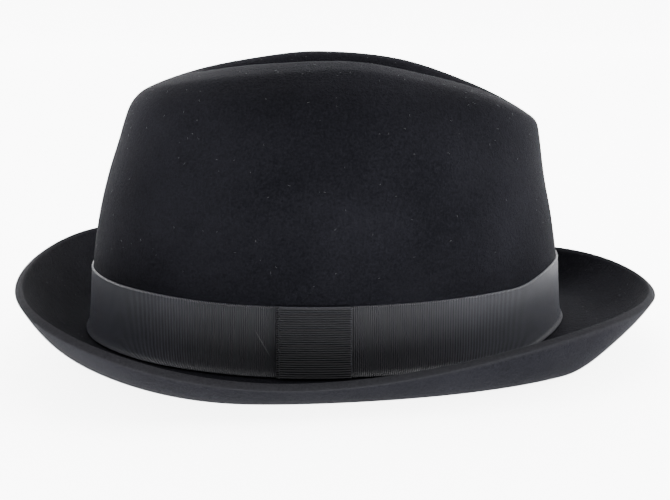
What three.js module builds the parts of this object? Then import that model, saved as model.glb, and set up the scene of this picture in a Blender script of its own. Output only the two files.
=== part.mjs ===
// A felt fedora with a centre dent, a brim rolled up all round, a grosgrain band and a flat keeper over
// the band's join. Millimetres. +Z is up and Z = 0 is the surface that the brim rests on. The front of
// the hat is -X and the keeper is on the -Y side. The sizes count X from the middle of the crown.

import * as THREE from 'three';

// Felt
const FELT_THICKNESS = 3.2;

// Crown, measured outside the felt
const CROWN_HALF_LENGTH = 102.7;
const CROWN_HALF_WIDTH = 80.8;
const CROWN_EGG = 0.04;
const CROWN_HEIGHT = 124.2;

// The crown's top: how far it falls from its highest place to the front corner, the back corner and the side
const TOP_CENTRE_X = -3;
const TOP_FALL_FRONT = 16;
const TOP_FALL_BACK = 28;
const TOP_FALL_SIDE = 25;
const TOP_CURVE_FRONT = 1.8;
const TOP_CURVE_BACK = 2.2;

// Centre dent, a lengthwise valley between two ridges
const DENT_DEPTH = 23;
const DENT_LENGTH = 134;
const DENT_WIDTH = 64;
const DENT_CENTRE_X = 12;

// The brim's lower edge: its reach in plan and its height above the surface
const BRIM_LENGTH = 274.6;
const BRIM_WIDTH = 230;
const BRIM_BACKWARD = 6.8;
const BRIM_EGG = 0.155;
const BRIM_POINTING = 6.2;
const BRIM_SQUARING = 0.07;
const EDGE_HEIGHT_FRONT = 32.3;
const EDGE_HEIGHT_SIDE = 10.6;
const EDGE_HEIGHT_BACK = 22.5;
const EDGE_HEIGHT_WAVE = 5.3;

// The brim's underside: it turns out of the crown, lies flat at the sides and curls up to its edge
const BREAK_RADIUS = 6;
const BREAK_HEIGHT_SIDE = 1.2;
const BREAK_HEIGHT_FRONT = 2.2;
const BREAK_HEIGHT_BACK = 6.0;
const FLAT_SPAN_FRONT = 0.2;
const FLAT_SPAN_BACK = 0.75;
const FLAT_START = 0.13;
const FLAT_END = 0.4;
const CURL_POWER_FRONT = 2.2;
const CURL_POWER_SIDE = 1.8;
const CURL_POWER_BACK = 3.6;

// Ribbon
const RIBBON_WIDTH = 27.6;
const RIBBON_THICKNESS = 1.0;
const RIBBON_CLEARANCE = 0.3;
const RIBBON_ABOVE_BRIM = 0.9;
const KEEPER_CENTRE_X = -3.6;

// Facets
const COLUMNS = 72;
const KEEPER_COLUMNS = 8;
const BRIM_OUT = [1, 0.88, 0.77, 0.65, 0.52, FLAT_END, FLAT_START];
const BREAK_TURNS = [1, 0.67, 0.33, 0];
const TOP_RINGS = [0.92, 0.84, 0.76, 0.69, 0.62, 0.54, 0.45, 0.35, 0.24, 0.12];

// The crown's wall from its foot to where the top begins. Reach is a share of the half length or half
// width, and rise is a share of the way up.
const WALL = [
  { frontReach: 0.990, frontRise: 0.150, sideReach: 0.996, sideRise: 0.130, backReach: 0.994, backRise: 0.160 },
  { frontReach: 0.980, frontRise: 0.295, sideReach: 0.986, sideRise: 0.260, backReach: 0.985, backRise: 0.320 },
  { frontReach: 0.961, frontRise: 0.430, sideReach: 0.969, sideRise: 0.390, backReach: 0.966, backRise: 0.460 },
  { frontReach: 0.935, frontRise: 0.565, sideReach: 0.944, sideRise: 0.520, backReach: 0.947, backRise: 0.590 },
  { frontReach: 0.902, frontRise: 0.690, sideReach: 0.908, sideRise: 0.645, backReach: 0.927, backRise: 0.720 },
  { frontReach: 0.865, frontRise: 0.800, sideReach: 0.855, sideRise: 0.760, backReach: 0.911, backRise: 0.830 },
  { frontReach: 0.835, frontRise: 0.895, sideReach: 0.790, sideRise: 0.855, backReach: 0.898, backRise: 0.925 },
  { frontReach: 0.808, frontRise: 0.958, sideReach: 0.700, sideRise: 0.935, backReach: 0.889, backRise: 0.978 },
  { frontReach: 0.768, frontRise: 1.000, sideReach: 0.580, sideRise: 1.000, backReach: 0.872, backRise: 1.000 },
];

// The ribbon from its lower to its upper edge. Up is a share of its width, and flare is how far it
// stands off the felt.
const RIBBON_ROWS = [
  { up: 0.00, flare: 1.1 },
  { up: 0.08, flare: 0.6 },
  { up: 0.25, flare: 0.2 },
  { up: 0.60, flare: 0.0 },
  { up: 1.00, flare: 0.0 },
];

const FELT = new THREE.MeshStandardMaterial({ color: 0x1f2024, roughness: 0.95, metalness: 0 });
const RIBBON = new THREE.MeshStandardMaterial({ color: 0x2c2c31, roughness: 0.75, metalness: 0 });

// A value for the front, side or back, blended smoothly round the hat.
function round(angle, front, side, back) {
  const along = Math.cos(angle) ** 2;
  return side + ((Math.cos(angle) < 0 ? front : back) - side) * along;
}

// 0 along the hat's sides and 1 at the middle of its front and back.
function endness(angle) {
  const span = Math.cos(angle) < 0 ? FLAT_SPAN_FRONT : FLAT_SPAN_BACK;
  return THREE.MathUtils.smoothstep(Math.abs(Math.cos(angle)), span, 1);
}

// A point of the crown's plan inside the felt, drawn in to a share of its reach and moved out by a distance.
function crownPlan(angle, reach, out) {
  const halfLength = (CROWN_HALF_LENGTH - FELT_THICKNESS) * reach + out;
  const halfWidth = (CROWN_HALF_WIDTH - FELT_THICKNESS) * reach + out;
  const egg = 1 - CROWN_EGG * Math.cos(angle) * reach;
  return new THREE.Vector2(halfLength * Math.cos(angle), halfWidth * Math.sin(angle) * egg);
}

function edgePlan(angle) {
  const x = BRIM_BACKWARD + (BRIM_LENGTH / 2) * Math.cos(angle) + BRIM_POINTING * (Math.cos(2 * angle) - 1);
  const side = (Math.sin(angle) + BRIM_SQUARING * Math.sin(3 * angle)) / (1 - BRIM_SQUARING);
  return new THREE.Vector2(x, (BRIM_WIDTH / 2) * side * (1 - BRIM_EGG * Math.cos(angle)));
}

function edgeHeight(angle) {
  const wave = EDGE_HEIGHT_WAVE * Math.sin(2 * angle) ** 2;
  return round(angle, EDGE_HEIGHT_FRONT, EDGE_HEIGHT_SIDE, EDGE_HEIGHT_BACK) + wave;
}

function breakHeight(angle) {
  const end = Math.cos(angle) < 0 ? BREAK_HEIGHT_FRONT : BREAK_HEIGHT_BACK;
  return THREE.MathUtils.lerp(BREAK_HEIGHT_SIDE, end, endness(angle));
}

// The brim's underside at a share of the way from the crown to the edge.
function brimPoint(angle, out) {
  const from = crownPlan(angle, 1, BREAK_RADIUS);
  const plan = from.lerp(edgePlan(angle), out);
  const flat = breakHeight(angle) - BREAK_HEIGHT_SIDE * (1 - endness(angle));
  const start = THREE.MathUtils.lerp(FLAT_END, 0, endness(angle));
  const power = round(angle, CURL_POWER_FRONT, CURL_POWER_SIDE, CURL_POWER_BACK);
  const lift = Math.max(0, (out - start) / (1 - start)) ** power;
  return new THREE.Vector3(plan.x, plan.y, flat + (edgeHeight(angle) - flat) * lift);
}

// The turn between the brim and the crown, 1 at the brim and 0 at the foot of the wall.
function breakPoint(angle, turn) {
  const swing = (turn * Math.PI) / 2;
  const plan = crownPlan(angle, 1, BREAK_RADIUS * (1 - Math.cos(swing)));
  return new THREE.Vector3(plan.x, plan.y, breakHeight(angle) + BREAK_RADIUS * (1 - Math.sin(swing)));
}

// The height of the crown's top, with the dent pressed in.
function topHeight(x, y) {
  const front = x < TOP_CENTRE_X;
  const head = WALL[WALL.length - 1];
  const corner = CROWN_HALF_LENGTH * (front ? -head.frontReach : head.backReach);
  const fall = front ? TOP_FALL_FRONT : TOP_FALL_BACK;
  const curve = front ? TOP_CURVE_FRONT : TOP_CURVE_BACK;
  const along = fall * ((x - TOP_CENTRE_X) / (corner - TOP_CENTRE_X)) ** curve;
  const across = TOP_FALL_SIDE * Math.abs(y / CROWN_HALF_WIDTH) ** 3;
  const length = 1 - ((2 * (x - DENT_CENTRE_X)) / DENT_LENGTH) ** 2;
  const width = length > 0 ? 1 - ((2 * y) / DENT_WIDTH) ** 2 / length : 0;
  const dent = width > 0 ? DENT_DEPTH * length * width ** 1.4 : 0;
  return CROWN_HEIGHT - FELT_THICKNESS - along - across - dent;
}

function wallPoint(angle, row) {
  const head = WALL[WALL.length - 1];
  const rim = crownPlan(angle, round(angle, head.frontReach, head.sideReach, head.backReach), 0);
  const reach = round(angle, row.frontReach, row.sideReach, row.backReach);
  const rise = round(angle, row.frontRise, row.sideRise, row.backRise);
  const foot = breakHeight(angle) + BREAK_RADIUS;
  const plan = crownPlan(angle, reach, 0);
  return new THREE.Vector3(plan.x, plan.y, THREE.MathUtils.lerp(foot, topHeight(rim.x, rim.y), rise));
}

// The crown's top at a share of the way from the middle of the dent to the head of the wall.
function topPoint(angle, share) {
  const rim = wallPoint(angle, WALL[WALL.length - 1]);
  const x = THREE.MathUtils.lerp(DENT_CENTRE_X, rim.x, share);
  const y = rim.y * share;
  return new THREE.Vector3(x, y, topHeight(x, y));
}

// A sheet moved along its own normals. The first row is an open edge and the last row is a pole.
function offset(sheet, distance) {
  const count = sheet[0].length;
  return sheet.map((row, r) => row.map((point, c) => {
    const below = sheet[Math.max(r - 1, 0)];
    const above = sheet[Math.min(r + 1, sheet.length - 1)];
    const pole = row.length === 1;
    const across = pole
      ? below[count / 4].clone().sub(below[(3 * count) / 4])
      : row[(c + 1) % count].clone().sub(row[(c + count - 1) % count]);
    const up = pole
      ? below[count / 2].clone().sub(below[0])
      : above[c % above.length].clone().sub(below[c]);
    return point.clone().addScaledVector(across.cross(up).normalize(), distance);
  }));
}

// One closed solid between two sheets of points. A row of one point is a pole, and a closed sheet joins
// its last column to its first.
function shell(inside, outside, closed, material, name) {
  const points = [];
  const number = (sheet) => sheet.map((row) => row.map((point) => points.push(point) - 1));
  const inner = number(inside);
  const outer = number(outside);
  const index = [];
  const quad = (a, b, c, d) => {
    for (const face of [[a, b, c], [a, c, d]]) {
      if (new Set(face).size === 3) index.push(...face);
    }
  };
  const width = inside[0].length;
  const last = inside.length - 1;
  const at = (sheet, r, c) => sheet[r][sheet[r].length === 1 ? 0 : c % width];
  for (let c = 0; c < (closed ? width : width - 1); c += 1) {
    for (let r = 0; r < last; r += 1) {
      quad(at(outer, r, c), at(outer, r, c + 1), at(outer, r + 1, c + 1), at(outer, r + 1, c));
      quad(at(inner, r + 1, c), at(inner, r + 1, c + 1), at(inner, r, c + 1), at(inner, r, c));
    }
    quad(at(inner, 0, c), at(inner, 0, c + 1), at(outer, 0, c + 1), at(outer, 0, c));
    if (inside[last].length > 1) {
      quad(at(outer, last, c), at(outer, last, c + 1), at(inner, last, c + 1), at(inner, last, c));
    }
  }
  for (let r = 0; r < last && !closed; r += 1) {
    quad(at(inner, r, 0), at(outer, r, 0), at(outer, r + 1, 0), at(inner, r + 1, 0));
    const end = width - 1;
    quad(at(inner, r + 1, end), at(outer, r + 1, end), at(outer, r, end), at(inner, r, end));
  }
  const geometry = new THREE.BufferGeometry().setFromPoints(points);
  geometry.setIndex(index);
  geometry.computeVertexNormals();
  const mesh = new THREE.Mesh(geometry, material);
  mesh.name = name;
  return mesh;
}

const angles = Array.from({ length: COLUMNS }, (_, c) => (2 * Math.PI * c) / COLUMNS);
const feltInside = [
  ...BRIM_OUT.map((out) => angles.map((angle) => brimPoint(angle, out))),
  ...BREAK_TURNS.map((turn) => angles.map((angle) => breakPoint(angle, turn))),
  ...WALL.map((row) => angles.map((angle) => wallPoint(angle, row))),
  ...TOP_RINGS.map((share) => angles.map((angle) => topPoint(angle, share))),
  [topPoint(0, 0)],
];
const feltOutside = offset(feltInside, FELT_THICKNESS);

// The felt's outside at one column and height, read between the rows of its turn and wall.
const wallStart = BRIM_OUT.length + 1;
function feltAt(column, height) {
  const upper = feltOutside.findIndex((row, r) => r > wallStart && row[column].z >= height);
  const low = feltOutside[upper - 1][column];
  const high = feltOutside[upper][column];
  return low.clone().lerp(high, (height - low.z) / (high.z - low.z));
}

// The ribbon at one column and row, standing off the felt by its flare and a distance.
function ribbonAt(column, row, distance) {
  const angle = angles[column];
  const foot = breakHeight(angle) + FELT_THICKNESS + RIBBON_ABOVE_BRIM;
  const height = foot + RIBBON_WIDTH * row.up;
  const felt = feltAt(column, height);
  const out = new THREE.Vector3(
    Math.cos(angle) / CROWN_HALF_LENGTH,
    Math.sin(angle) / CROWN_HALF_WIDTH,
    0,
  ).normalize();
  return felt.addScaledVector(out, row.flare + distance).setZ(height);
}

const bandInside = RIBBON_ROWS.map((row) => angles.map((_, c) => ribbonAt(c, row, RIBBON_CLEARANCE)));
const bandOutside = RIBBON_ROWS.map((row) => (
  angles.map((_, c) => ribbonAt(c, row, RIBBON_CLEARANCE + RIBBON_THICKNESS))
));

// The keeper follows the band's outside between two places along the hat.
function keeperSheet(distance) {
  return RIBBON_ROWS.map((row) => {
    const line = angles.map((_, c) => ribbonAt(c, row, distance)).slice(COLUMNS / 2);
    return Array.from({ length: KEEPER_COLUMNS + 1 }, (_, k) => {
      const x = KEEPER_CENTRE_X + RIBBON_WIDTH * (k / KEEPER_COLUMNS - 0.5);
      const next = line.findIndex((point) => point.x > x);
      const before = line[next - 1];
      return before.clone().lerp(line[next], (x - before.x) / (line[next].x - before.x));
    });
  });
}

const overBand = 2 * RIBBON_CLEARANCE + RIBBON_THICKNESS;
const hat = new THREE.Group();
hat.position.x = -BRIM_BACKWARD;
hat.add(shell(feltInside, feltOutside, true, FELT, 'felt_body'));
hat.add(shell(bandInside, bandOutside, true, RIBBON, 'hat_band'));
hat.add(shell(keeperSheet(overBand), keeperSheet(overBand + RIBBON_THICKNESS), false, RIBBON, 'band_keeper'));

export default hat;
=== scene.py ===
# %% [markdown]
# # A felt fedora
# A dark velour-felt hat with a dented crown, a brim rolled up all round and a ribbed ribbon band.
# The lesson goes in the order a hatter works: the felt is blocked into a crown and a brim, the band is
# wrapped round the foot of the crown, and the keeper is folded over the band's join.
# All lengths are in metres. The front of the hat is -X and +Z is up.

import bmesh
import bpy
import numpy as np
from mathutils import Matrix


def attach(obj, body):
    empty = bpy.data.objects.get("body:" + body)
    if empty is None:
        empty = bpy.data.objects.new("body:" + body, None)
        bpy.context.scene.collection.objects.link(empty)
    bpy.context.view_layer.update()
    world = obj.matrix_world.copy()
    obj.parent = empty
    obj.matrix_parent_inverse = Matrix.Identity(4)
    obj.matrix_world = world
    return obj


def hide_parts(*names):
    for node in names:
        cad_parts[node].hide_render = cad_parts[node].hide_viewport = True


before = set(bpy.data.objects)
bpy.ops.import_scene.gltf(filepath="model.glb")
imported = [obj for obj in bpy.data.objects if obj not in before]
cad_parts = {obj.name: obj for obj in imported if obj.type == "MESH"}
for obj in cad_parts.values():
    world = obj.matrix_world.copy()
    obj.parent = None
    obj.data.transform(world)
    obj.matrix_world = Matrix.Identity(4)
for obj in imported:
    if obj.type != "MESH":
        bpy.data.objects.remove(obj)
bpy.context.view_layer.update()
print("solids:", sorted(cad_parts))

# %% [markdown]
# ## Camera
# The picture is taken from the wearer's left, a little above the crown. A wide lens close by would stretch
# the near side of the brim. A lens somewhat longer than a normal one keeps the brim's ellipse calm.

# %% Camera
PITCH_DOWN = 12.28
YAW = 0.41
SENSOR_WIDTH = 36
LENS = 70.4
camera = bpy.data.objects.new("camera", bpy.data.cameras.new("camera"))
bpy.context.scene.collection.objects.link(camera)
camera.data.sensor_width = SENSOR_WIDTH
camera.data.lens = LENS
camera.location = (-0.0063, -0.5653, 0.1607)
camera.rotation_euler = (np.radians(90 - PITCH_DOWN), 0, np.radians(-YAW))
bpy.context.scene.camera = camera
print("camera at:", tuple(camera.location))

# %% [markdown]
# ## Floor and light
# The hat sits on a white sweep that glows a little, as a lit table does, so light comes back up under the
# brim. Strong lamps from the front would flatten dark felt. Large soft lights left and right of it and
# slightly behind let the nap glow along the outlines, and the side facing us stays deep. A low light on the
# right opens up the brim there.

# %% Floor and light
SWEEP_GLOW = 6.0
WORLD_LIGHT = 1.5
SWEEP_START = 2
HALF_FLOOR = 6
AIM = (0, 0, 0.06)


def plain_material(name, colour, roughness):
    """A single-colour material for the surroundings and for lint."""
    material = bpy.data.materials.new(name)
    material.use_nodes = True
    shader = material.node_tree.nodes["Principled BSDF"]
    shader.inputs["Base Color"].default_value = (*colour, 1)
    shader.inputs["Roughness"].default_value = roughness
    return material


def soft_light(name, place, aim, size, watts):
    """A square area light at a place, turned towards a point."""
    data = bpy.data.lights.new(name, "AREA")
    data.size = size
    data.energy = watts
    light = bpy.data.objects.new(name, data)
    bpy.context.scene.collection.objects.link(light)
    away = np.array(place, float) - np.array(aim, float)
    away /= np.linalg.norm(away)
    side = np.cross((0, 0, 1), away)
    side /= np.linalg.norm(side)
    turn = np.column_stack([side, np.cross(away, side), away])
    light.matrix_world = Matrix.Translation(place) @ Matrix(turn.tolist()).to_4x4()


sweep_turn = np.linspace(0, np.pi / 2, 13)
sweep_y = np.concatenate([[-5], SWEEP_START + np.sin(sweep_turn), [SWEEP_START + 1]])
sweep_z = np.concatenate([[0], 1 - np.cos(sweep_turn), [5]])
sweep_points = [(x, y, z) for y, z in zip(sweep_y, sweep_z) for x in (-HALF_FLOOR, HALF_FLOOR)]
sweep_faces = [(2 * k, 2 * k + 1, 2 * k + 3, 2 * k + 2) for k in range(len(sweep_y) - 1)]
floor_mesh = bpy.data.meshes.new("floor")
floor_mesh.from_pydata(sweep_points, [], sweep_faces)
floor_mesh.polygons.foreach_set("use_smooth", [True] * len(sweep_faces))
floor = bpy.data.objects.new("floor", floor_mesh)
bpy.context.scene.collection.objects.link(floor)
white = plain_material("sweep_white", (0.93, 0.93, 0.93), 0.9)
white_shader = white.node_tree.nodes["Principled BSDF"]
white_shader.inputs["Emission Color"].default_value = (1, 1, 1, 1)
white_shader.inputs["Emission Strength"].default_value = SWEEP_GLOW
floor_mesh.materials.append(white)

world = bpy.data.worlds.new("studio")
world.use_nodes = True
world.node_tree.nodes["Background"].inputs["Color"].default_value = (1, 1, 1, 1)
world.node_tree.nodes["Background"].inputs["Strength"].default_value = WORLD_LIGHT
bpy.context.scene.world = world

soft_light("left", (-1.0, 0.2, 0.55), AIM, 0.7, 8)
soft_light("right", (1.0, 0.1, 0.5), AIM, 0.7, 16)
soft_light("above", (0.1, 0.2, 1.3), AIM, 0.8, 7)
soft_light("low_right", (0.85, -0.55, 0.14), (0.05, 0, 0.03), 0.4, 6)
print("lights:", len(bpy.data.lights))

# %% [markdown]
# ## Small tools
# A mesh here is always a grid of points, so one function turns a grid into an object. Rows and columns
# may close on themselves, and a row that shrinks to one place becomes a pole. Modelling by hand with loops
# and extrusions would work too, but a grid keeps each curve's numbers in one place. Every piece gets a UV
# map in metres along the cloth, because ribs follow the cloth and not the room.

# %% Curves and soft unevenness
def smooth_step(x, low, high):
    """Goes from 0 to 1 between two values, with level ends."""
    t = np.clip((x - low) / (high - low), 0, 1)
    return t * t * (3 - 2 * t)


def through(table, place):
    """A smooth curve through the values of a table, read at fractional row numbers."""
    table = np.asarray(table, float)
    slope = np.gradient(table)
    row = np.clip(np.floor(place).astype(int), 0, len(table) - 2)
    t = place - row
    a, b = table[row], table[row + 1]
    bend_in, bend_out = (3 * t**2 - 2 * t**3), (t**3 - 2 * t**2 + t)
    return a + (b - a) * bend_in + slope[row] * bend_out + slope[row + 1] * (t**3 - t**2)


def ripple(x, y, z, scale, seed, waves=14):
    """Soft unevenness: plane waves in all directions, added up and divided by the root of their number."""
    rng = np.random.default_rng(seed)
    way = rng.normal(size=(waves, 3))
    way /= np.linalg.norm(way, axis=1)[:, None]
    length = scale * rng.uniform(0.7, 1.6, waves)
    phase = rng.uniform(0, 2 * np.pi, waves)
    total = 0
    for k in range(waves):
        run = way[k, 0] * x + way[k, 1] * y + way[k, 2] * z
        total = total + np.sin(run / length[k] * 6.283 + phase[k])
    return total / np.sqrt(waves)


print("half way up a step:", smooth_step(0.5, 0, 1))


# %% [markdown]
# The grid's faces all turn the same way, so the skin has one outside. Normals come from the cross product
# of the grid's two directions, and the UV map measures the cloth along each of them.

# %% From grid to object
def grid_object(name, grid, uv, material, close_rows=False, close_columns=False):
    """One object from a grid of points, rows x columns x 3, with a UV for each corner of each face."""
    rows, columns = grid.shape[:2]
    r = np.arange(rows if close_rows else rows - 1)[:, None]
    c = np.arange(columns if close_columns else columns - 1)[None, :]
    corners_r = np.stack([r + 0 * c, r + 0 * c, r + 1 + 0 * c, r + 1 + 0 * c], -1)
    corners_c = np.stack([c + 0 * r, c + 1 + 0 * r, c + 1 + 0 * r, c + 0 * r], -1)
    index = (corners_r % rows) * columns + corners_c % columns
    mesh = bpy.data.meshes.new(name)
    count = index.shape[0] * index.shape[1]
    mesh.vertices.add(rows * columns)
    mesh.vertices.foreach_set("co", grid.reshape(-1).astype(np.float32))
    mesh.loops.add(count * 4)
    mesh.loops.foreach_set("vertex_index", index.reshape(-1).astype(np.int32))
    mesh.polygons.add(count)
    mesh.polygons.foreach_set("loop_start", np.arange(count, dtype=np.int32) * 4)
    mesh.polygons.foreach_set("use_smooth", np.ones(count, bool))
    mesh.update(calc_edges=True)
    layer = mesh.uv_layers.new(name="cloth")
    layer.data.foreach_set("uv", uv[corners_r, corners_c].reshape(-1).astype(np.float32))
    mesh.materials.append(material)
    made = bpy.data.objects.new(name, mesh)
    bpy.context.scene.collection.objects.link(made)
    print(name, "faces:", count)
    return made


def normals_of(grid):
    """Unit normals of a grid that closes round its columns: the cross product of its two directions."""
    across = np.roll(grid, -1, 1) - np.roll(grid, 1, 1)
    normal = np.cross(across, np.gradient(grid, axis=0))
    return normal / np.maximum(np.linalg.norm(normal, axis=-1, keepdims=True), 1e-9)


def cloth_uv(grid, close_columns):
    """Metres along the cloth: u adds up the mean steps between columns, v those between rows."""
    wrapped = np.concatenate([grid, grid[:, :1]], 1) if close_columns else grid
    step_u = np.linalg.norm(np.diff(wrapped, axis=1), axis=-1).mean(0)
    step_v = np.linalg.norm(np.diff(grid, axis=0), axis=-1).mean(1)
    u = np.concatenate([[0], np.cumsum(step_u)])
    v = np.concatenate([[0], np.cumsum(step_v)])
    v = np.append(v, v[-1] + 0.001)
    return np.stack(np.broadcast_arrays(u[None, :], v[:, None]), -1)


def close_poles(piece):
    """Joins points that share a place, so a pole or a pinched end is closed, and turns faces outwards."""
    work = bmesh.new()
    work.from_mesh(piece.data)
    bmesh.ops.remove_doubles(work, verts=work.verts, dist=2e-7)
    bmesh.ops.recalc_face_normals(work, faces=work.faces)
    work.to_mesh(piece.data)
    work.free()


print("ready to make grids")

# %% [markdown]
# ## Felt shape
# Hat felt is one sheet of matted hair with no seam. Steam and a wooden block give it the crown, and an iron
# curls the brim. The crown and the brim could be two surfaces joined by a seam, but then the felt would
# show a crease that a blocked hat doesn't have. So the inside is worked out first as one surface, with a
# brim, a turn and a wall, and the outside follows it one felt's thickness away.

# %% Crown sizes
FELT = 0.0032
CROWN_HALF_LENGTH = 0.1027
CROWN_HALF_WIDTH = 0.0808
CROWN_EGG = 0.04
CROWN_HEIGHT = 0.1242
HALF_LENGTH = CROWN_HALF_LENGTH - FELT
HALF_WIDTH = CROWN_HALF_WIDTH - FELT
FORWARD = 0.0068
COLUMNS = 300

WALL = {
    "front_reach": [1.000, 0.990, 0.980, 0.961, 0.935, 0.902, 0.865, 0.835, 0.808, 0.768],
    "front_rise": [0.000, 0.150, 0.295, 0.430, 0.565, 0.690, 0.800, 0.895, 0.958, 1.000],
    "side_reach": [1.000, 0.996, 0.986, 0.969, 0.944, 0.908, 0.855, 0.790, 0.700, 0.580],
    "side_rise": [0.000, 0.130, 0.260, 0.390, 0.520, 0.645, 0.760, 0.855, 0.935, 1.000],
    "back_reach": [1.000, 0.994, 0.985, 0.966, 0.947, 0.927, 0.911, 0.898, 0.889, 0.872],
    "back_rise": [0.000, 0.160, 0.320, 0.460, 0.590, 0.720, 0.830, 0.925, 0.978, 1.000],
}
RIM_FRONT = WALL["front_reach"][-1]
RIM_SIDE = WALL["side_reach"][-1]
RIM_BACK = WALL["back_reach"][-1]

angle = np.linspace(0, 2 * np.pi, COLUMNS, endpoint=False)[None, :]
cosine, sine = np.cos(angle), np.sin(angle)


def around(front, side, back):
    """Front, side or back value, blended with the square of the cosine round the hat."""
    return side + (np.where(cosine < 0, front, back) - side) * cosine**2


def crown_plan(reach, out):
    """The crown's oval, slightly egg shaped, drawn in to a share of its reach and moved out."""
    x = (HALF_LENGTH * reach + out) * cosine
    y = (HALF_WIDTH * reach + out) * sine * (1 - CROWN_EGG * cosine * reach)
    return x, y


print("crown inside:", 2 * HALF_LENGTH, "x", 2 * HALF_WIDTH)

# %% [markdown]
# The top is a long arch with a dent pressed into it by hand. The dent could be pushed in with a sculpting
# brush. Here it is a bowl cut off by an ellipse, so that its two ridges stay clean.

# %% Crown's top
TOP_CENTRE_X = -0.003
TOP_FALL_FRONT, TOP_FALL_BACK, TOP_FALL_SIDE = 0.016, 0.028, 0.025
TOP_CURVE_FRONT, TOP_CURVE_BACK = 1.8, 2.2
DENT_DEPTH = 0.023
DENT_HALF_LENGTH = 0.067
DENT_HALF_WIDTH = 0.032
DENT_CENTRE_X = 0.012


def top_height(x, y):
    """Height of the crown's top: a long arch that falls to the sides, less the dent between its ridges."""
    front = x < TOP_CENTRE_X
    corner = np.where(front, -RIM_FRONT, RIM_BACK) * CROWN_HALF_LENGTH
    run = np.clip((x - TOP_CENTRE_X) / (corner - TOP_CENTRE_X), 0, None)
    arch = np.where(front, TOP_FALL_FRONT * run**TOP_CURVE_FRONT, TOP_FALL_BACK * run**TOP_CURVE_BACK)
    across = TOP_FALL_SIDE * np.abs(y / CROWN_HALF_WIDTH) ** 3
    length = np.clip(1 - ((x - DENT_CENTRE_X) / DENT_HALF_LENGTH) ** 2, 0, None)
    width = np.clip(1 - (y / DENT_HALF_WIDTH) ** 2 / np.maximum(length, 1e-6), 0, None)
    return CROWN_HEIGHT - FELT - arch - across - DENT_DEPTH * length * width**1.4


rim_x, rim_y = crown_plan(around(RIM_FRONT, RIM_SIDE, RIM_BACK), 0)
rim_z = top_height(rim_x, rim_y)
print("rim of the top from", rim_z.min(), "to", rim_z.max())

# %% [markdown]
# The brim is ironed flat at the sides, where the hat rests, and its edge is rolled up all round, most of all
# in front. Each line from the crown to the edge is one power curve, which a spline drawn by hand could give
# too. The power makes the roll early or late with one number.

# %% Brim
BREAK_RADIUS = 0.006
BREAK_SIDE, BREAK_FRONT, BREAK_BACK = 0.0012, 0.0022, 0.006
FLAT_SPAN_FRONT, FLAT_SPAN_BACK = 0.2, 0.75
FLAT_START, FLAT_END = 0.13, 0.4
BRIM_HALF_LENGTH, BRIM_HALF_WIDTH = 0.1373, 0.115
BRIM_POINTING, BRIM_SQUARING, BRIM_EGG = 0.0062, 0.07, 0.155
EDGE_FRONT, EDGE_SIDE, EDGE_BACK, EDGE_WAVE = 0.0323, 0.0106, 0.0225, 0.0053
CURL_FRONT, CURL_SIDE, CURL_BACK = 2.2, 1.8, 3.6

endness = smooth_step(np.abs(cosine), np.where(cosine < 0, FLAT_SPAN_FRONT, FLAT_SPAN_BACK), 1)
break_height = BREAK_SIDE + (np.where(cosine < 0, BREAK_FRONT, BREAK_BACK) - BREAK_SIDE) * endness
edge_x = FORWARD + BRIM_HALF_LENGTH * cosine + BRIM_POINTING * (np.cos(2 * angle) - 1)
squared = (sine + BRIM_SQUARING * np.sin(3 * angle)) / (1 - BRIM_SQUARING)
edge_y = BRIM_HALF_WIDTH * squared * (1 - BRIM_EGG * cosine)
edge_z = around(EDGE_FRONT, EDGE_SIDE, EDGE_BACK) + EDGE_WAVE * np.sin(2 * angle) ** 2

out = np.linspace(1, 0, 40)[:-1, None]
start_x, start_y = crown_plan(1, BREAK_RADIUS)
flat = break_height - BREAK_SIDE * (1 - endness)
flat_end = FLAT_END * (1 - endness)
lift = np.clip((out - flat_end) / (1 - flat_end), 0, None) ** around(CURL_FRONT, CURL_SIDE, CURL_BACK)
dip = (break_height - flat) * smooth_step(out, FLAT_START, 0)
brim = np.stack([
    start_x + (edge_x - start_x) * out,
    start_y + (edge_y - start_y) * out,
    flat + (edge_z - flat) * lift + dip,
], -1)
print("brim edge from", edge_z.min(), "to", edge_z.max())

# %% [markdown]
# The rows run from the brim's edge inwards, round the turn, up the wall and over the top to the middle of
# the dent. A little smoothing across the rows takes away any crease where two stretches meet, as steam does.

# %% Felt surface
turn = np.linspace(1, 0, 9)[:-1, None] * np.pi / 2
turn_x, turn_y = crown_plan(1, BREAK_RADIUS * (1 - np.cos(turn)))
turned = np.stack([turn_x, turn_y, break_height + BREAK_RADIUS * (1 - np.sin(turn))], -1)

place = np.linspace(0, 9, 55)[:, None]
reach = around(*(through(WALL[k], place) for k in ("front_reach", "side_reach", "back_reach")))
rise = around(*(through(WALL[k], place) for k in ("front_rise", "side_rise", "back_rise")))
foot = break_height + BREAK_RADIUS
wall_x, wall_y = crown_plan(reach, 0)
wall = np.stack([wall_x, wall_y, foot + (rim_z - foot) * rise], -1)

share = np.linspace(1, 0, 46)[1:, None]
top_x = DENT_CENTRE_X + (rim_x - DENT_CENTRE_X) * share
top_y = rim_y * share
top = np.stack([top_x, top_y, top_height(top_x, top_y)], -1)

inside = np.concatenate([brim, turned, wall, top], 0)
FIRST_SMOOTHED = len(brim) + 1
for _ in range(2):
    before, middle, after = inside[FIRST_SMOOTHED - 1:-2], inside[FIRST_SMOOTHED:-1], inside[FIRST_SMOOTHED + 1:]
    inside[FIRST_SMOOTHED:-1] = (before + 2 * middle + after) / 4
outside = inside + FELT * normals_of(inside)
outside[-1] = outside[-2].mean(0)
print("rows on one side of the felt:", len(inside))

# %% [markdown]
# The brim's edge is cut with a blade, so it is square with a slightly rounded corner. A very soft unevenness
# keeps the crown from looking machined, and it stops short of the flat patch that the hat rests on.

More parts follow.
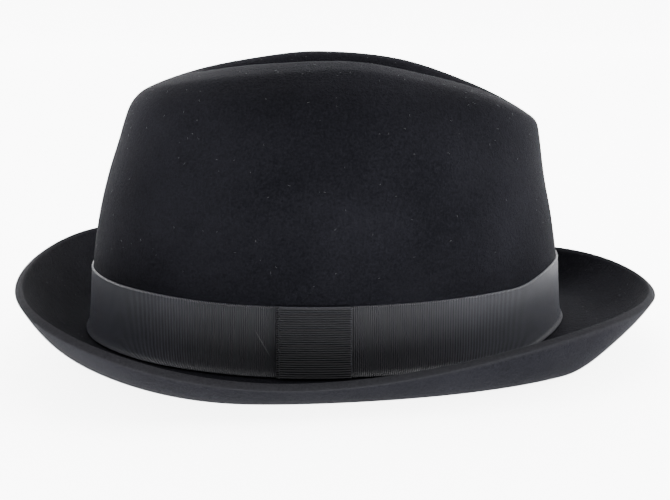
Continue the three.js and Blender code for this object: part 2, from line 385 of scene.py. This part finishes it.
# %% Felt edge and unevenness
EDGE_BULGE = 0.00035
UNEVEN_DEPTH = 0.00035
UNEVEN_SIZE = 0.045
step = np.array([0.08, 0.3, 0.5, 0.7, 0.92])[:, None, None]
bulge = EDGE_BULGE * np.sin(np.pi * step) ** 0.5
outward = inside[0] - inside[1]
outward /= np.linalg.norm(outward, axis=-1, keepdims=True)
cut = inside[0] + (outside[0] - inside[0]) * step + outward * bulge
loft = np.concatenate([inside[::-1], cut, outside], 0)
crown_share = smooth_step(loft[..., 2:], 0.04, 0.07)
soft = ripple(loft[..., 0], loft[..., 1], loft[..., 2], UNEVEN_SIZE, 3)[..., None]
radial = loft * (1, 1, 0.4)
radial /= np.maximum(np.linalg.norm(radial, axis=-1, keepdims=True), 0.02)
loft = loft + radial * soft * crown_share * UNEVEN_DEPTH
loft[..., 0] -= FORWARD
rows_inside, rows_cut = len(inside), len(cut)
cut_mask = np.zeros(loft.shape[:2])
cut_mask[rows_inside - 1: rows_inside + rows_cut + 1] = 1
print("felt grid:", loft.shape)

# %% [markdown]
# ## Shared effects
# Velour felt is brushed until its hairs stand up, and brushing leaves patches where the hair lies another
# way. Ribbon has fine threads on it too, over its ribs. Copying the same nodes into each material would let
# them drift apart, so two node groups hold these effects and both can be tuned by name.

# %% Node helpers
def new_group(name, inputs, outputs):
    """An empty shader group with named float inputs and outputs."""
    group = bpy.data.node_groups.new(name, "ShaderNodeTree")
    for label, value in inputs:
        socket = group.interface.new_socket(label, in_out="INPUT", socket_type="NodeSocketFloat")
        socket.default_value = value
    for label in outputs:
        group.interface.new_socket(label, in_out="OUTPUT", socket_type="NodeSocketFloat")
    return group, group.nodes.new("NodeGroupInput"), group.nodes.new("NodeGroupOutput")


def set_or_link(tree, socket, value):
    """Sets a socket to a number, or links another socket to it."""
    if isinstance(value, (int, float)):
        socket.default_value = value
    else:
        tree.links.new(value, socket)


def math_node(tree, operation, *values):
    """A maths node; each value is a socket to link or a number to set."""
    node = tree.nodes.new("ShaderNodeMath")
    node.operation = operation
    for socket, value in zip(node.inputs, values):
        set_or_link(tree, socket, value)
    return node.outputs[0]


def noise_node(tree, vector, scale, detail, roughness=0.6):
    """A noise texture on a vector; scale may be a socket."""
    node = tree.nodes.new("ShaderNodeTexNoise")
    tree.links.new(vector, node.inputs["Vector"])
    set_or_link(tree, node.inputs["Scale"], scale)
    node.inputs["Detail"].default_value = detail
    node.inputs["Roughness"].default_value = roughness
    return node.outputs["Fac"]


print("node helpers ready")

# %% [markdown]
# The nap group mixes single hairs with clumps of them for its relief, and gives the hairs and the patches
# for colour. The rib group turns a place along the ribbon into round ribs with narrow grooves.

# %% Nap and ribs
nap, nap_in, nap_out = new_group(
    "felt_nap", [("Hair Scale", 900), ("Patch Scale", 24)], ["Height", "Hair", "Patch"])
object_place = nap.nodes.new("ShaderNodeTexCoord").outputs["Object"]
hair = noise_node(nap, object_place, nap_in.outputs["Hair Scale"], 5, 0.7)
clump_scale = math_node(nap, "MULTIPLY", nap_in.outputs["Hair Scale"], 0.28)
clump = noise_node(nap, object_place, clump_scale, 3)
patch = noise_node(nap, object_place, nap_in.outputs["Patch Scale"], 2, 0.5)
nap.links.new(math_node(nap, "MULTIPLY_ADD", clump, 0.8, hair), nap_out.inputs["Height"])
nap.links.new(hair, nap_out.inputs["Hair"])
nap.links.new(patch, nap_out.inputs["Patch"])

ribs, ribs_in, ribs_out = new_group("ribs", [("Along", 0), ("Pitch", 0.00075)], ["Height"])
turns = math_node(ribs, "DIVIDE", ribs_in.outputs["Along"], ribs_in.outputs["Pitch"])
wave = math_node(ribs, "SINE", math_node(ribs, "MULTIPLY", turns, 6.2832))
rib_height = math_node(ribs, "MULTIPLY_ADD", wave, 0.5, 0.5)
ribs.links.new(math_node(ribs, "POWER", rib_height, 0.6), ribs_out.inputs["Height"])
print("groups:", [group.name for group in bpy.data.node_groups])


# %% [markdown]
# A material starts from a shader with its plain numbers, then takes a colour that varies between a dark and
# a light value, and a relief of a real depth.

# %% Material helpers
def shaded(name, roughness, sheen, sheen_roughness, sheen_tint, specular):
    """A material whose plain sheen, roughness and gloss are set on the shader itself."""
    material = bpy.data.materials.new(name)
    material.use_nodes = True
    shader = material.node_tree.nodes["Principled BSDF"]
    shader.inputs["Roughness"].default_value = roughness
    shader.inputs["Sheen Weight"].default_value = sheen
    shader.inputs["Sheen Roughness"].default_value = sheen_roughness
    shader.inputs["Sheen Tint"].default_value = (*sheen_tint, 1)
    shader.inputs["Specular IOR Level"].default_value = specular
    return material, material.node_tree, shader


def use_group(tree, group, values):
    """A group placed in a material, with some of its inputs set."""
    node = tree.nodes.new("ShaderNodeGroup")
    node.node_tree = group
    for label, value in values.items():
        set_or_link(tree, node.inputs[label], value)
    return node


def colour_between(tree, factor, dark, light):
    """A colour that goes from dark to light with a factor from 0 to 1. Each end is a colour or a socket."""
    mix = tree.nodes.new("ShaderNodeMix")
    mix.data_type = "RGBA"
    for socket, value in ((mix.inputs[6], dark), (mix.inputs[7], light)):
        if isinstance(value, tuple):
            socket.default_value = (*value, 1)
        else:
            tree.links.new(value, socket)
    tree.links.new(factor, mix.inputs[0])
    return mix.outputs[2]


def bump(tree, shader, height, depth):
    """Relief of a real depth in metres."""
    node = tree.nodes.new("ShaderNodeBump")
    node.inputs["Strength"].default_value = 1.0
    node.inputs["Distance"].default_value = depth
    tree.links.new(height, node.inputs["Height"])
    tree.links.new(node.outputs["Normal"], shader.inputs["Normal"])


print("material helpers ready")

# %% [markdown]
# ## Felt finish
# Seen face on, brushed felt swallows light, and where it turns away its hair tips catch the light. Real hair
# on the whole hat would be millions of strands, so the sheen of the shader does that work. The cut edge of
# the brim shows the felt's raw middle, which is a little lighter and mottled.

# %% Felt material
FELT_DARK, FELT_LIGHT = (0.0024, 0.0025, 0.0033), (0.0072, 0.0073, 0.0093)
RAW_DARK, RAW_LIGHT = (0.0042, 0.0042, 0.005), (0.0185, 0.0185, 0.0208)
NAP_DEPTH = 0.0004
felt, tree, shader = shaded("velour_felt", 0.95, 0.022, 0.3, (0.7, 0.7, 0.78), 0.015)
nap_node = use_group(tree, nap, {"Hair Scale": 1100, "Patch Scale": 26})
cut_node = tree.nodes.new("ShaderNodeAttribute")
cut_node.attribute_name = "cut"
mottle = math_node(tree, "MULTIPLY_ADD", nap_node.outputs["Hair"], 4.6, -1.95)
patchy = math_node(tree, "MULTIPLY_ADD", nap_node.outputs["Patch"], 2.4, -0.85)
tone = math_node(tree, "MULTIPLY_ADD", patchy, 0.45, math_node(tree, "MULTIPLY", mottle, 0.6))
brushed = colour_between(tree, tone, FELT_DARK, FELT_LIGHT)
raw = colour_between(tree, nap_node.outputs["Hair"], RAW_DARK, RAW_LIGHT)
felt_colour = colour_between(tree, cut_node.outputs["Fac"], brushed, raw)
tree.links.new(felt_colour, shader.inputs["Base Color"])
bump(tree, shader, nap_node.outputs["Height"], NAP_DEPTH)
print("felt nodes:", len(tree.nodes))

# %% [markdown]
# The felt goes into one mesh, closed at the middle of the dent inside and outside. Where the edge is cut is
# kept as a value on the points. A second material there would make a hard line.

# %% Felt piece
felt_piece = grid_object("felt_hood", loft, cloth_uv(loft, True), felt, close_columns=True)
mask = felt_piece.data.attributes.new("cut", "FLOAT", "POINT")
mask.data.foreach_set("value", cut_mask.reshape(-1).astype(np.float32))
close_poles(felt_piece)
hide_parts("felt_body")
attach(felt_piece, "root")

# %% [markdown]
# ## Band
# Grosgrain is woven with thick cross threads, so it has a rib across its width every three quarters of a
# millimetre. The hatter steams it to the crown and pulls it tight. A straight tube would leave the crown
# where it leans in, so the band reads the felt's outside at its own height, column by column. Its lower
# edge meets the turn of the brim and flares out there.

# %% Ribbon sizes and the felt under it
RIBBON_WIDTH = 0.0276
RIBBON_THICKNESS = 0.0006
CLEARANCE = 0.00015
ABOVE_BRIM = 0.0009
FLARE_AT, FLARE_OUT = (0, 0.08, 0.25, 0.6, 1), (0.0011, 0.0006, 0.0002, 0, 0)
outer_rows = outside[36:90].copy()
outer_rows[..., 0] -= FORWARD
push = np.stack([cosine[0] / CROWN_HALF_LENGTH, sine[0] / CROWN_HALF_WIDTH, 0 * cosine[0]], -1)
push /= np.linalg.norm(push, axis=-1, keepdims=True)


def felt_at(height):
    """The felt's outside in plan at a height in each column, read between the rows of the turn and wall."""
    above = (outer_rows[:, None, :, 2] < height[None]).sum(0)
    above = np.clip(above, 1, len(outer_rows) - 1)
    low = np.take_along_axis(outer_rows, above[..., None] - 1, 0)
    high = np.take_along_axis(outer_rows, above[..., None], 0)
    part = (height - low[..., 2]) / (high[..., 2] - low[..., 2])
    return low + (high - low) * part[..., None]


def ribbon_point(up, lap, distance):
    """A place on the ribbon: up is a share of its width, lap lengthens it at both edges."""
    base = break_height[0] + FELT + ABOVE_BRIM
    height = base + RIBBON_WIDTH * up + lap * (2 * up - 1)
    place = felt_at(np.maximum(height, base))
    flare = np.interp(up, FLARE_AT, FLARE_OUT)
    point = place + push[None] * (flare + distance)[..., None]
    point[..., 2] = height
    return point


print("ribbon:", RIBBON_WIDTH, "wide")

# %% [markdown]
# Silk-like threads lie over each rib and shine softly, and the grooves between ribs lie in shade. The ribs are
# too fine to model one by one, so relief makes them, and the colour paints a highlight on each rib and shade in
# each groove, along one direction of the cloth's UV map.

# %% Ribbon finish
RIB_DEPTH = 0.0004
# Band colours: painted shade in the grooves and a painted highlight on the ribs.
BAND_GROOVE_SHADE, BAND_RIB_HIGHLIGHT = (0.0018, 0.0018, 0.0025), (0.0115, 0.0117, 0.0148)
# The keeper is the same ribbon, but its colours are set darker than the band's: painted shade over the whole
# keeper, besides the painted rib highlight and groove shade.
KEEPER_GROOVE_SHADE, KEEPER_DIMMED_RIB_HIGHLIGHT = (0.001, 0.001, 0.0015), (0.0078, 0.0079, 0.0098)


def ribbon_material(name, pitch, across, dark, light):
    """Ribbed ribbon: a painted highlight on the ribs and painted shade between them, over relief. across picks
    the UV direction.
    """
    material, tree, shader = shaded(name, 0.5, 0.15, 0.3, (0.74, 0.76, 0.95), 0.24)
    uv_node = tree.nodes.new("ShaderNodeUVMap")
    uv_node.uv_map = "cloth"
    split = tree.nodes.new("ShaderNodeSeparateXYZ")
    tree.links.new(uv_node.outputs["UV"], split.inputs[0])
    rib_node = use_group(tree, ribs, {"Along": split.outputs[across], "Pitch": pitch})
    nap_node = use_group(tree, nap, {"Hair Scale": 2600, "Patch Scale": 60})
    fleck = math_node(tree, "MULTIPLY_ADD", nap_node.outputs["Hair"], 1.6, -0.5)
    fine = math_node(tree, "MULTIPLY", fleck, 0.3)
    # painted highlight on each rib and painted shade in each groove, with random thread flecks
    tone = math_node(tree, "MULTIPLY_ADD", rib_node.outputs["Height"], 0.75, fine)
    tree.links.new(colour_between(tree, tone, dark, light), shader.inputs["Base Color"])
    bump(tree, shader, rib_node.outputs["Height"], RIB_DEPTH)
    return material


band_finish = ribbon_material("ribbon_ribbed", 0.00075, 0, BAND_GROOVE_SHADE, BAND_RIB_HIGHLIGHT)
level_ribs = ribbon_material("ribbon_level_ribs", 0.0009, 1, KEEPER_GROOVE_SHADE, KEEPER_DIMMED_RIB_HIGHLIGHT)
print("ribbon finishes:", band_finish.name, level_ribs.name)

# %% [markdown]
# The band is a closed cross-section carried round the crown. Its edges are rounded and a fine woven selvedge
# swells near each of them. It drifts up and down by a tenth of a millimetre, as a ribbon sewn by hand does.

# %% Band piece
SELVEDGE = 0.00012
SELVEDGE_WIDTH = 0.014


def ribbon_section(count):
    """Shares of the width and of the thickness round one closed cross-section, rounded at both edges."""
    face = np.concatenate([[0, 0.004, 0.012], np.linspace(0.025, 0.975, count - 6), [0.988, 0.996, 1]])
    up = np.concatenate([np.linspace(1, 0, 8), face])
    thick = np.concatenate([np.zeros(8), [0.35, 0.85], np.ones(count - 4), [0.85, 0.35]])
    return up[:, None], thick[:, None]


up, thick = ribbon_section(44)
near_top = np.exp(-((up - 0.975) / SELVEDGE_WIDTH) ** 2)
near_foot = np.exp(-((up - 0.03) / SELVEDGE_WIDTH) ** 2)
drift = 0.00012 * np.sin(angle * 5 + 1) + 0.00008 * np.sin(angle * 13)
outer_face = RIBBON_THICKNESS + SELVEDGE * (near_top + near_foot)
band = ribbon_point(up + 0 * angle, drift * 0.6, CLEARANCE + thick * outer_face)
band_piece = grid_object(
    "ribbon_band", band, cloth_uv(band, True), band_finish, close_rows=True, close_columns=True)
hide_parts("hat_band")
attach(band_piece, "root")

# %% [markdown]
# ## Keeper
# The band's two ends meet at the wearer's left. A short piece of the same ribbon is folded over them from
# top to bottom, so its ribs lie level. It could be a flat plate, but a fold of cloth swells at its bends and
# is pinched at its sides. The end of the ribbon under it peeps out on the front side.

# %% Places on the band
KEEPER_X = -0.0036 - FORWARD
near_push = push[COLUMNS // 2:]


def on_band(x, up):
    """Felt point and outward direction on the near side at places along the hat and up the ribbon."""
    base = ribbon_point(up[:, None] + 0 * angle, 0, 0 * up[:, None])[:, COLUMNS // 2:]
    line = base[len(base) // 2, :, 0]
    at = np.interp(x, line, np.arange(len(line)))
    low = np.floor(at).astype(int)
    part = (at - low)[:, None]
    point = base[:, low] * (1 - part) + base[:, low + 1] * part
    point[..., 0] = x
    return point, near_push[low] * (1 - part) + near_push[low + 1] * part


print("keeper middle at x =", KEEPER_X)


# %% [markdown]
# One function makes both layers: a closed section from top to bottom, repeated at places along the hat.

# %% Keeper piece
def strip_over_band(name, left, right, inner, thickness, fold, material):
    """A closed strip over the band. Its side edges are pinched shut and it swells where it is folded."""
    up = np.concatenate([np.linspace(1, 0, 36), np.linspace(0, 1, 36)])
    side = np.concatenate([np.zeros(36), np.ones(36)])
    side[[36, 71]] = 0.6
    share = np.concatenate([[0, 0.002, 0.006, 0.012], np.linspace(0.02, 0.98, 40), [0.988, 0.994, 0.998, 1]])
    from_edge = np.minimum(share, 1 - share) * (right - left)
    pinch = np.sqrt(1 - (1 - np.clip(from_edge / (thickness / 2), 0, 1)) ** 2)
    point, way = on_band(left + (right - left) * share, up)
    swell = fold * (np.exp(-((up - 0.97) / 0.05) ** 2) + np.exp(-((up - 0.03) / 0.05) ** 2))
    distance = inner + thickness / 2 + ((side - 0.5) * (thickness + swell))[:, None] * pinch
    grid = point + way[None] * distance[..., None]
    piece = grid_object(name, grid, cloth_uv(grid, False), material, close_rows=True)
    close_poles(piece)
    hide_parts("band_keeper")
    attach(piece, "root")
    return piece


half = RIBBON_WIDTH / 2
peep = 0.0011
keeper = strip_over_band("keeper_fold", KEEPER_X - half, KEEPER_X + half, 0.0012, 0.0009, 0.0004, level_ribs)
under = strip_over_band("keeper_under", KEEPER_X - half - peep, KEEPER_X, 0.00092, 0.0002, 0, level_ribs)

# %% [markdown]
# ## Lint
# Dark felt always carries a few pale fibres. They could be dots in the felt's colour, but each is a thin
# bent tube that lies on the nap, so it catches light from its own side. Their places are drawn with a fixed
# seed, so the hat is the same each time.

# %% Tubes
def tubes_object(name, paths, radius, material):
    """Thin tubes with four sides along many paths, pinched shut at both ends."""
    along = np.gradient(paths, axis=1)
    along /= np.linalg.norm(along, axis=-1, keepdims=True)
    side = np.cross(along, (0.31, 0.22, 0.93))
    side /= np.linalg.norm(side, axis=-1, keepdims=True)
    third = np.cross(along, side)
    size = radius * np.sin(np.linspace(0, np.pi, paths.shape[1])) ** 0.4
    turn = np.arange(4) * np.pi / 2
    ring = side[:, :, None] * np.cos(turn)[:, None] + third[:, :, None] * np.sin(turn)[:, None]
    grid = paths[:, :, None] + ring * size[None, :, None, None]
    count, rings = grid.shape[:2]
    f = np.arange(count)[:, None, None] * rings * 4
    r = np.arange(rings - 1)[None, :, None] * 4
    c = np.arange(4)[None, None, :]
    quads = np.stack([f + r + c, f + r + (c + 1) % 4, f + r + 4 + (c + 1) % 4, f + r + 4 + c], -1)
    mesh = bpy.data.meshes.new(name)
    mesh.from_pydata(grid.reshape(-1, 3).tolist(), [], quads.reshape(-1, 4).tolist())
    mesh.materials.append(material)
    piece = bpy.data.objects.new(name, mesh)
    bpy.context.scene.collection.objects.link(piece)
    close_poles(piece)
    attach(piece, "root")
    print(name, "tubes:", count)


lint_material = plain_material("pale_lint", (0.10, 0.10, 0.105), 0.9)

# %% [markdown]
# Each fibre starts at a point of the felt's outside and lies in a direction across its normal. Fibres that
# would end up under the ribbon are left off.

# %% Lint pieces
FIBRES = 800
FIBRE_RADIUS = 0.00003
rng = np.random.default_rng(11)
outside_rows = loft[rows_inside + rows_cut:]
outside_normals = normals_of(outside_rows)
pick_r = rng.integers(4, len(outside_rows) - 12, FIBRES)
pick_c = rng.integers(0, COLUMNS, FIBRES)
origin = outside_rows[pick_r, pick_c]
normal = outside_normals[pick_r, pick_c]
lie = np.cross(normal, rng.normal(size=(FIBRES, 3)))
lie /= np.linalg.norm(lie, axis=1, keepdims=True)
bend = np.cross(normal, lie)
reach_along = np.linspace(-1, 1, 7)[None, :, None] * rng.uniform(0.0002, 0.0007, (FIBRES, 1, 1))
curl = (reach_along**2) * rng.uniform(-400, 400, (FIBRES, 1, 1))
fibres = origin[:, None] + lie[:, None] * reach_along + bend[:, None] * curl + normal[:, None] * 0.00012
low_down = (origin[:, 2] > 0.003) & (origin[:, 2] < 0.04)
on_ribbon = low_down & (np.abs(origin[:, 1]) < 0.086) & (pick_r > 36)
tubes_object("lint", fibres[~on_ribbon], FIBRE_RADIUS, lint_material)

# %% [markdown]
# One longer thread lies slantwise on the band, in front of the keeper. It is a tube as well, a little
# thicker than the lint.

# %% Loose thread
thread_x = np.linspace(-0.0335, -0.0275, 9)
thread_up = np.linspace(0.66, 0.28, 9)
point, way = on_band(thread_x, thread_up)
thread = point[np.arange(9), np.arange(9)] + way * 0.001
tubes_object("loose_thread", thread[None], 0.00006, lint_material)
